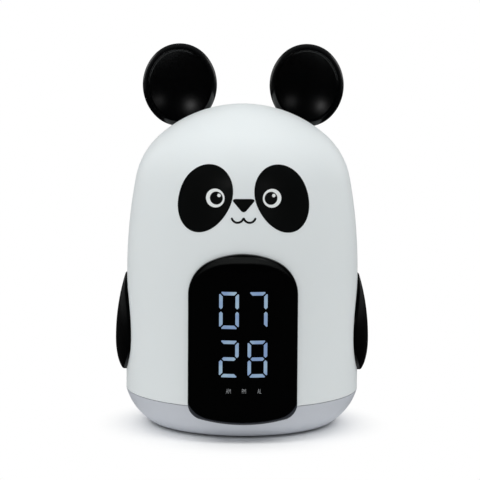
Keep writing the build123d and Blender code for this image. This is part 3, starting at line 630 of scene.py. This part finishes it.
@dataclass
class FacePrint:
    """Plain panda face printed on the dome: leaning patches with eyes, a nose and a smile."""
    centre_z: float = 107.5
    patch_x: float = 16.2
    patch_half_width: float = 11.2
    patch_half_height: float = 13.6
    patch_lower_stretch: float = 1.22
    patch_lean: float = 24.0            # degrees
    patch_sides: int = 96
    patch_rings: int = 14
    disc_sides: int = 48
    disc_rings: int = 5
    eye_x: float = 12.2
    eye_z: float = 106.6
    eye_radius: float = 4.0
    pupil_radius: float = 2.75
    pupil_shift: float = 0.45
    glint_radius: float = 0.75
    glint_shift: float = 1.15
    nose_half_width: float = 4.6
    nose_height: float = 5.6
    nose_z: float = 103.6
    nose_corner: float = 3.4
    nose_corner_steps: int = 12
    nose_cuts: int = 5
    nose_rings: int = 8
    smile_radius: float = 2.6
    smile_sweep: float = 140.0          # degrees
    smile_z: float = 98.9
    smile_stroke: float = 0.9
    smile_steps: int = 14
    smile_end: tuple[tuple[int, int], ...] = ((0, 30), (30, 60), (60, 85))  # its round end, degrees
    ink: float = 0.16
    front: float = -100.0               # where a flat piece starts, before it is pressed on the dome

    def lay(self, piece: bpy.types.Object, x: float, z: float, layer: Layer, finish: Finish,
            wardrobe: Wardrobe) -> None:
        """Lay a flat piece on the dome as a layer of ink.

        Args:
            piece: the flat piece, round the origin.
            x: its place across, in millimetres.
            z: its height, in millimetres.
            layer: how far it stands out.
            finish: its ink.
            wardrobe: gives the ink's material.
        """
        bpy.ops.object.mode_set(mode="OBJECT")
        piece.location = Vector((x, self.front, z)) * MM
        Bench.settle(piece)
        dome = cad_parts["dome_shell"]
        Bench.modify(piece, "SHRINKWRAP", target=dome, wrap_method="PROJECT", use_project_y=True,
                     use_negative_direction=False, use_positive_direction=True,
                     offset=layer.value * MM, wrap_mode="ABOVE_SURFACE")
        Bench.modify(piece, "SOLIDIFY", thickness=self.ink * MM, offset=-1.0)
        Bench.outward(piece)
        bpy.ops.object.shade_smooth()
        Bench.modify(piece, "DATA_TRANSFER", object=dome, use_loop_data=True,
                     data_types_loops={"CUSTOM_NORMAL"}, loop_mapping="POLYINTERP_NEAREST")
        wardrobe.put(finish, piece)
        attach(piece, "root")
        log.info("%s is printed", piece.name)

    def patch(self, side: Side, wardrobe: Wardrobe) -> None:
        """Egg-shaped patch, its narrow end up and leaning to the middle."""
        piece = Bench.outline(f"face_patch_{side.name.lower()}", self.patch_sides)
        Bench.resize(self.patch_half_width, self.patch_half_height)
        Bench.edit(piece, lambda place: place.z < 0)
        Bench.resize(1, self.patch_lower_stretch)
        bpy.ops.mesh.select_all(action="SELECT")
        lean = math.radians(self.patch_lean) * side.value
        bpy.ops.transform.rotate(value=lean, orient_axis="Y", center_override=(0, 0, 0))
        Bench.fill_in_rings(self.patch_rings)
        self.lay(piece, side.value * self.patch_x, self.centre_z, Layer.FIRST, INK_BLACK, wardrobe)

    def disc(self, name: str, radius: float, x: float, z: float, layer: Layer, finish: Finish,
             wardrobe: Wardrobe) -> None:
        """Round spot of ink."""
        piece = Bench.outline(name, self.disc_sides)
        Bench.resize(radius, radius)
        Bench.fill_in_rings(self.disc_rings)
        self.lay(piece, x, z, layer, finish, wardrobe)

    def eye(self, side: Side, wardrobe: Wardrobe) -> None:
        """White of the eye, pupil and glint."""
        name, x, z = side.name.lower(), side.value * self.eye_x, self.eye_z
        self.disc(f"eye_white_{name}", self.eye_radius, x, z, Layer.SECOND, INK_WHITE, wardrobe)
        x -= side.value * self.pupil_shift
        self.disc(f"eye_pupil_{name}", self.pupil_radius, x, z, Layer.THIRD, INK_BLACK, wardrobe)
        self.disc(f"eye_glint_{name}", self.glint_radius, x + self.glint_shift, z + self.glint_shift,
                  Layer.FOURTH, INK_WHITE, wardrobe)

    def nose(self, wardrobe: Wardrobe) -> None:
        """Triangle with round corners, point down."""
        Bench.clear()
        bpy.ops.mesh.primitive_circle_add(vertices=3, radius=2 * self.nose_half_width * MM,
                                          fill_type="NGON", rotation=UPRIGHT)
        piece = bpy.context.active_object
        piece.name = "nose"
        bpy.ops.object.transform_apply(location=True, rotation=True, scale=True)
        bpy.ops.object.mode_set(mode="EDIT")
        bpy.ops.mesh.select_all(action="SELECT")
        Bench.resize(1, -1)
        bpy.ops.mesh.bevel(offset=self.nose_corner * MM, segments=self.nose_corner_steps,
                           affect="VERTICES", profile=0.5)
        bpy.ops.mesh.select_all(action="SELECT")
        low, high = Bench.corners(piece)
        bpy.ops.mesh.select_all(action="SELECT")
        bpy.ops.transform.translate(value=-(low + high) / 2)
        Bench.resize(2 * self.nose_half_width * MM / (high.x - low.x),
                     self.nose_height * MM / (high.z - low.z))
        bpy.ops.mesh.delete(type="ONLY_FACE")
        bpy.ops.mesh.select_all(action="SELECT")
        bpy.ops.mesh.subdivide(number_cuts=self.nose_cuts)
        bpy.ops.mesh.select_all(action="SELECT")
        Bench.fill_in_rings(self.nose_rings)
        self.lay(piece, 0, self.nose_z, Layer.FIRST, INK_BLACK, wardrobe)

    def smile(self, side: Side, wardrobe: Wardrobe) -> None:
        """One of the two arcs under the nose: half a stroke with a round end, spun and mirrored."""
        half, radius = self.smile_stroke / 2 * MM, self.smile_radius * MM
        turn = math.radians(self.smile_sweep / 2)
        Bench.clear()
        bpy.ops.mesh.primitive_plane_add(size=2 * half, location=(half, 0, -radius), rotation=UPRIGHT)
        piece = bpy.context.active_object
        piece.name = f"smile_{side.name.lower()}"
        bpy.ops.object.transform_apply(location=True, rotation=True, scale=True)
        Bench.edit(piece, lambda place: place.x > half)
        bpy.ops.mesh.delete(type="VERT")
        bpy.ops.mesh.select_all(action="SELECT")
        bpy.ops.mesh.spin(steps=self.smile_steps, angle=turn, center=(0, 0, 0), axis=(0, 1, 0))
        ahead = Vector((math.cos(turn), 0, math.sin(turn)))
        centre = Vector((math.sin(turn), 0, -math.cos(turn))) * radius
        for near, far in self.smile_end:
            reach = half * (math.sin(math.radians(far)) - math.sin(math.radians(near)))
            ratio = math.cos(math.radians(far)) / math.cos(math.radians(near))
            centre += ahead * reach
            bpy.ops.mesh.extrude_edges_move(TRANSFORM_OT_translate={"value": ahead * reach})
            Bench.resize(ratio, ratio, centre)
        bpy.ops.object.mode_set(mode="OBJECT")
        Bench.modify(piece, "MIRROR", merge_threshold=HAIR)
        self.lay(piece, side.value * self.smile_radius, self.smile_z, Layer.FIRST, INK_BLACK, wardrobe)

    def build(self, wardrobe: Wardrobe) -> None:
        """Print the whole face.

        Args:
            wardrobe: gives the inks' materials.
        """
        for side in Side:
            self.patch(side, wardrobe)
            self.eye(side, wardrobe)
            self.smile(side, wardrobe)
        self.nose(wardrobe)


@dataclass
class DisplayMarks:
    """Small letters over the indicator windows."""
    words: tuple[str, ...] = ("AM", "PM", "AL")
    window_width: float = 4.0
    height: float = 2.15
    height_share: float = 0.7           # a capital's height as a share of the type's size
    narrowness: float = 0.48
    thinning: float = 0.05
    drop: float = 0.3
    thickness: float = 0.05
    lift: float = 0.03

    def mark(self, word: str, x: float, wardrobe: Wardrobe) -> None:
        """One word, set on the lens's curve.

        Args:
            word: the letters.
            x: its place across, in metres.
            wardrobe: gives the ink's material.
        """
        low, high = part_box("indicator_windows")
        radius = -low.y + self.lift * MM
        turn = math.asin(x / radius)
        Bench.clear()
        bpy.ops.object.text_add()
        piece = bpy.context.active_object
        piece.name = f"mark_{word.lower()}"
        piece.data.body = word
        piece.data.align_x, piece.data.align_y = "CENTER", "CENTER"
        piece.data.size = self.height * MM / self.height_share
        piece.data.extrude = self.thickness * MM
        piece.data.offset = -self.thinning * MM
        bpy.ops.object.convert(target="MESH")
        piece.scale = (self.narrowness, 1, 1)
        piece.rotation_euler = (math.pi / 2, 0, turn)
        piece.location = (x, -radius * math.cos(turn), (low.z + high.z) / 2 - self.drop * MM)
        Bench.settle(piece)
        # the marks' grey ink carries a faint painted glow
        wardrobe.put(INK_GREY_PAINTED_GLOW, piece)
        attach(piece, "root")
        log.info("%s is set on the lens", piece.name)

    def build(self, wardrobe: Wardrobe) -> None:
        """Set all the words.

        Args:
            wardrobe: gives the ink's material.
        """
        low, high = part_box("indicator_windows")
        gaps = len(self.words) - 1
        pitch = (high.x - low.x - self.window_width * MM) / gaps
        for i, word in enumerate(self.words):
            self.mark(word, (low.x + high.x) / 2 + (i - gaps / 2) * pitch, wardrobe)


@dataclass
class ButtonSigns:
    """Small pale signs printed on the ends of the buttons."""
    reach: float = 1.8
    stroke: float = 0.40
    clock_sides: int = 40
    long_hand: float = 0.80
    short_hand: float = 0.55
    bell_radius: float = 0.95
    bell_sides: int = 24
    bell_flare: tuple[tuple[float, float], ...] = ((0.70, 1.0), (0.40, 1.5))    # drop and widening
    bell_lift: float = 0.40
    clapper_radius: float = 0.36
    clapper_drop: float = 1.50
    clapper_sides: int = 16
    sun_radius: float = 0.85
    sun_sides: int = 32
    rays: int = 8
    ray_length: float = 0.55
    ray_place: float = 1.50
    ink: float = 0.06

    def add_bar(self, place: Vector, width: float, height: float) -> None:
        """Add a small bar to the piece that is being edited, left selected.

        Args:
            place: its centre.
            width: its size across, in millimetres.
            height: its size up, in millimetres.
        """
        bpy.ops.mesh.primitive_plane_add(size=MM, location=place, rotation=UPRIGHT)
        Bench.resize(width, height, place)

    def clock(self, name: str) -> bpy.types.Object:
        """Ring with two hands."""
        piece = Bench.outline(name, self.clock_sides)
        Bench.resize(self.reach, self.reach)
        bpy.ops.mesh.extrude_edges_move()
        Bench.resize(1 - self.stroke / self.reach, 1 - self.stroke / self.reach)
        self.add_bar(Vector(), self.stroke, self.stroke)
        up, across = Vector((0, 0, 1)), Vector((-1, 0, 0))
        for way, length in ((up, self.long_hand), (across, self.short_hand)):
            Bench.edit(piece, lambda place: place.length < self.stroke * MM and place.dot(way) > 0)
            bpy.ops.mesh.extrude_edges_move(TRANSFORM_OT_translate={"value": way * length * MM})
        return piece

    def bell(self, name: str) -> bpy.types.Object:
        """Round top, a flared skirt and a clapper."""
        piece = Bench.outline(name, self.bell_sides)
        Bench.resize(self.bell_radius, self.bell_radius)
        Bench.edit(piece, lambda place: place.z < -HAIR)
        bpy.ops.mesh.delete(type="VERT")
        bpy.ops.mesh.select_all(action="SELECT")
        bpy.ops.mesh.edge_face_add()
        Bench.edit(piece, lambda place: place.z < HAIR)
        for drop, widening in self.bell_flare:
            bpy.ops.mesh.extrude_edges_move(TRANSFORM_OT_translate={"value": (0, 0, -drop * MM)})
            Bench.resize(widening, 1)
        bpy.ops.mesh.primitive_circle_add(vertices=self.clapper_sides, radius=self.clapper_radius * MM,
                                          fill_type="NGON", location=(0, 0, -self.clapper_drop * MM),
                                          rotation=UPRIGHT)
        bpy.ops.mesh.select_all(action="SELECT")
        bpy.ops.transform.translate(value=(0, 0, self.bell_lift * MM))
        return piece

    def sun(self, name: str) -> bpy.types.Object:
        """Disc with rays round it."""
        piece = Bench.outline(name, self.sun_sides)
        Bench.resize(self.sun_radius, self.sun_radius)
        bpy.ops.mesh.edge_face_add()
        self.add_bar(Vector((0, 0, self.ray_place)) * MM, self.stroke, self.ray_length)
        bpy.ops.mesh.spin(steps=self.rays - 1, angle=math.tau * (self.rays - 1) / self.rays,
                          dupli=True, center=(0, 0, 0), axis=(0, 1, 0))
        return piece

    def arrow(self, name: str, way: int) -> bpy.types.Object:
        """Triangle, its point up or down."""
        piece = Bench.outline(name, 3)
        Bench.resize(self.reach, way * self.reach)
        bpy.ops.mesh.edge_face_add()
        return piece

    def print_on(self, button: str, piece: bpy.types.Object, wardrobe: Wardrobe) -> None:
        """Print a flat sign on the end of a button.

        Args:
            button: the button's node and body.
            piece: the sign, round the origin.
            wardrobe: gives the ink's material.
        """
        low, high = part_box(button)
        bpy.ops.object.mode_set(mode="OBJECT")
        piece.location = ((low.x + high.x) / 2, high.y, (low.z + high.z) / 2)
        Bench.settle(piece)
        Bench.modify(piece, "SOLIDIFY", thickness=self.ink * MM, offset=0.0)
        Bench.outward(piece)
        wardrobe.put(INK_WHITE, piece)
        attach(piece, button)
        log.info("%s is printed on %s", piece.name, button)

    def build(self, wardrobe: Wardrobe) -> None:
        """Print every button's sign.

        Args:
            wardrobe: gives the ink's material.
        """
        self.print_on("time_button", self.clock("sign_clock"), wardrobe)
        self.print_on("alarm_button", self.bell("sign_bell"), wardrobe)
        self.print_on("light_button", self.sun("sign_sun"), wardrobe)
        self.print_on("down_button", self.arrow("sign_down", -1), wardrobe)
        self.print_on("up_button", self.arrow("sign_up", 1), wardrobe)


# --- Studio ---
@dataclass(frozen=True)
class Softbox:
    """Rectangular lamp, aimed at the clock. Metres and watts."""
    name: str
    place: tuple[float, float, float]
    size: tuple[float, float]
    power: float
    mirrored: bool = True
    spread: float = 180.0               # degrees
    aim: Optional[tuple[float, float, float]] = None

    def build(self, target: Vector) -> None:
        """Hang the lamp.

        Args:
            target: where it points, unless it has an aim of its own.
        """
        lamp = bpy.data.lights.new(self.name, "AREA")
        lamp.spread = math.radians(self.spread)
        lamp.shape = "RECTANGLE"
        lamp.size, lamp.size_y = self.size
        lamp.energy = self.power
        holder = bpy.data.objects.new(self.name, lamp)
        holder.location = self.place
        sight = Vector(self.aim or target) - Vector(self.place)
        holder.rotation_euler = sight.to_track_quat("-Z", "Y").to_euler()
        holder.visible_glossy = self.mirrored
        bpy.context.scene.collection.objects.link(holder)


@dataclass
class Studio:
    """White floor, white surroundings and soft lamps. Metres."""
    floor_radius: float = 1.0
    floor_sides: int = 128
    floor_colour: Colour = (0.95, 0.955, 0.96)
    floor_change: float = 0.005
    floor_scale: float = 30.0
    fade_start: float = 0.038           # to the eye the floor turns plain white between these
    fade_end: float = 0.068
    fade_shift: float = -0.012
    bounce: float = 0.80                # light that the floor gives back, beyond the contact shadow
    bounce_start: float = 0.039
    bounce_end: float = 0.060
    mirror_start: float = 0.044         # beyond these the gloss parts mirror a dim floor
    mirror_end: float = 0.062
    dim_mirror: float = 0.01
    behind_start: float = -0.25         # the surroundings turn from front to back between these
    behind_end: float = 0.45
    ambient: float = 0.35
    back_ambient: float = 0.74
    ambient_colour: Colour = (0.97, 0.99, 1.0)
    front_gloss: float = 0.004
    back_gloss: float = 0.10
    target: tuple[float, float, float] = (0.0, 0.0, 0.08)
    lamps: tuple[Softbox, ...] = (
        Softbox("top_lamp", (0.0, -0.15, 1.10), (0.9, 0.7), 3.2, mirrored=False),
        Softbox("left_lamp", (-0.60, -0.35, 0.90), (0.45, 0.45), 2.6, mirrored=False),
        Softbox("right_lamp", (0.60, -0.35, 0.90), (0.45, 0.45), 2.7, mirrored=False),
        Softbox("side_lamp", (-0.85, -0.55, 0.30), (0.6, 0.5), 0.55, mirrored=False),
        Softbox("front_left_lamp", (-0.168, -0.496, 0.345), (0.19, 0.12), 0.0015, spread=14.0,
                aim=(-0.034, 0.0, 0.150)),
        Softbox("front_right_lamp", (0.38, -0.90, 0.41), (0.18, 0.16), 0.06),
        Softbox("back_left_lamp", (-0.72, 0.72, 0.42), (0.35, 0.50), 0.45),
        Softbox("back_right_lamp", (0.72, 0.72, 0.42), (0.35, 0.50), 0.45),
    )

    def floor(self) -> None:
        """Round floor that fades to plain white away from the clock."""
        Bench.clear()
        bpy.ops.mesh.primitive_circle_add(vertices=self.floor_sides, radius=self.floor_radius,
                                          fill_type="NGON")
        floor = bpy.context.active_object
        floor.name = "floor"
        material = bpy.data.materials.new("floor_paper")
        graph = Graph(material)
        ray = {name: graph.wire("ShaderNodeLightPath", output=f"Is {name} Ray")
               for name in ("Camera", "Glossy", "Diffuse")}
        reach = graph.wire("ShaderNodeVectorMath", {"operation": "LENGTH"}, {0: graph.place()}, "Value")
        nearer = graph.wire("ShaderNodeVectorMath", {"operation": "DISTANCE"},
                            {0: graph.place(), 1: (0.0, self.fade_shift, 0.0)}, "Value")
        tone = graph.blend(graph.noise(self.floor_scale), shaded(self.floor_colour, 1 - self.floor_change),
                           shaded(self.floor_colour, 1 + self.floor_change))
        paper = graph.wire("ShaderNodeBsdfDiffuse", None, {"Color": tone})
        white = graph.wire("ShaderNodeEmission", None, {"Color": (1, 1, 1, 1), "Strength": 1.0})
        dim = graph.wire("ShaderNodeEmission", None,
                         {"Color": (1, 1, 1, 1), "Strength": self.dim_mirror})
        lit = ray["Diffuse"] * reach.step(self.bounce_start, self.bounce_end) * self.bounce
        far = ray["Camera"] * nearer.step(self.fade_start, self.fade_end) + lit
        seen = graph.wire("ShaderNodeMixShader", None, {0: far, 1: paper, 2: white})
        away = ray["Glossy"] * reach.step(self.mirror_start, self.mirror_end)
        graph.finish("ShaderNodeOutputMaterial",
                     graph.wire("ShaderNodeMixShader", None, {0: away, 1: seen, 2: dim}))
        floor.data.materials.append(material)

    def surroundings(self) -> None:
        """White to the eye, softer on the clock, and dim in front for what the black parts mirror."""
        world = bpy.data.worlds.new("surroundings")
        bpy.context.scene.world = world
        graph = Graph(world)
        direction = graph.wire("ShaderNodeTexCoord", output="Generated")
        depth = graph.wire("ShaderNodeSeparateXYZ", None, {0: direction}, "Y")
        ray = {name: graph.wire("ShaderNodeLightPath", output=f"Is {name} Ray")
               for name in ("Camera", "Glossy")}
        behind = depth.step(self.behind_start, self.behind_end)
        mirror = behind * (self.back_gloss - self.front_gloss) + self.front_gloss
        soft = behind * (self.back_ambient - self.ambient) + self.ambient
        light = ray["Glossy"] * (mirror - soft) + soft
        strength = light * (1 - ray["Camera"]) + ray["Camera"]
        colour = graph.blend(ray["Camera"], self.ambient_colour, (1.0, 1.0, 1.0))
        graph.finish("ShaderNodeOutputWorld",
                     graph.wire("ShaderNodeBackground", None, {"Color": colour, "Strength": strength}))

    def build(self) -> None:
        """Set up the studio."""
        self.floor()
        self.surroundings()
        for lamp in self.lamps:
            lamp.build(Vector(self.target))
        bpy.context.scene.view_settings.view_transform = "Standard"


@dataclass
class Camera:
    """Camera in front of the clock and a little above it. Metres."""
    distance: float = 1.010
    height: float = 0.21335
    turn: float = -0.4                  # degrees
    roll: float = 0.33
    target: tuple[float, float, float] = (-0.00115, 0.0, 0.0823)
    focal_px: float = 2250.97           # focal length in pixels of a frame this wide
    frame_px: float = 480.0
    sensor: float = 36.0                # millimetres

    def build(self) -> None:
        """Place the camera and make it the scene's."""
        lens = bpy.data.cameras.new("camera")
        lens.sensor_width = self.sensor
        lens.lens = self.focal_px * self.sensor / self.frame_px
        camera = bpy.data.objects.new("camera", lens)
        turn = math.radians(self.turn)
        target = Vector(self.target)
        place = Vector((target.x + self.distance * math.sin(turn), -self.distance * math.cos(turn),
                        self.height))
        sight = (target - place).to_track_quat("-Z", "Y").to_matrix().to_4x4()
        roll = Matrix.Rotation(math.radians(self.roll), 4, "Z")
        camera.matrix_world = Matrix.Translation(place) @ sight @ roll
        bpy.context.scene.collection.objects.link(camera)
        bpy.context.scene.camera = camera


def main() -> None:
    """Dress the nodes, print the face, the marks and the signs, and set up the studio."""
    logging.basicConfig(level=logging.INFO, format="%(message)s")
    wardrobe = Wardrobe()
    wardrobe.dress_nodes()
    FacePrint().build(wardrobe)
    DisplayMarks().build(wardrobe)
    ButtonSigns().build(wardrobe)
    Camera().build()
    Studio().build()


if __name__ == "__main__":
    main()
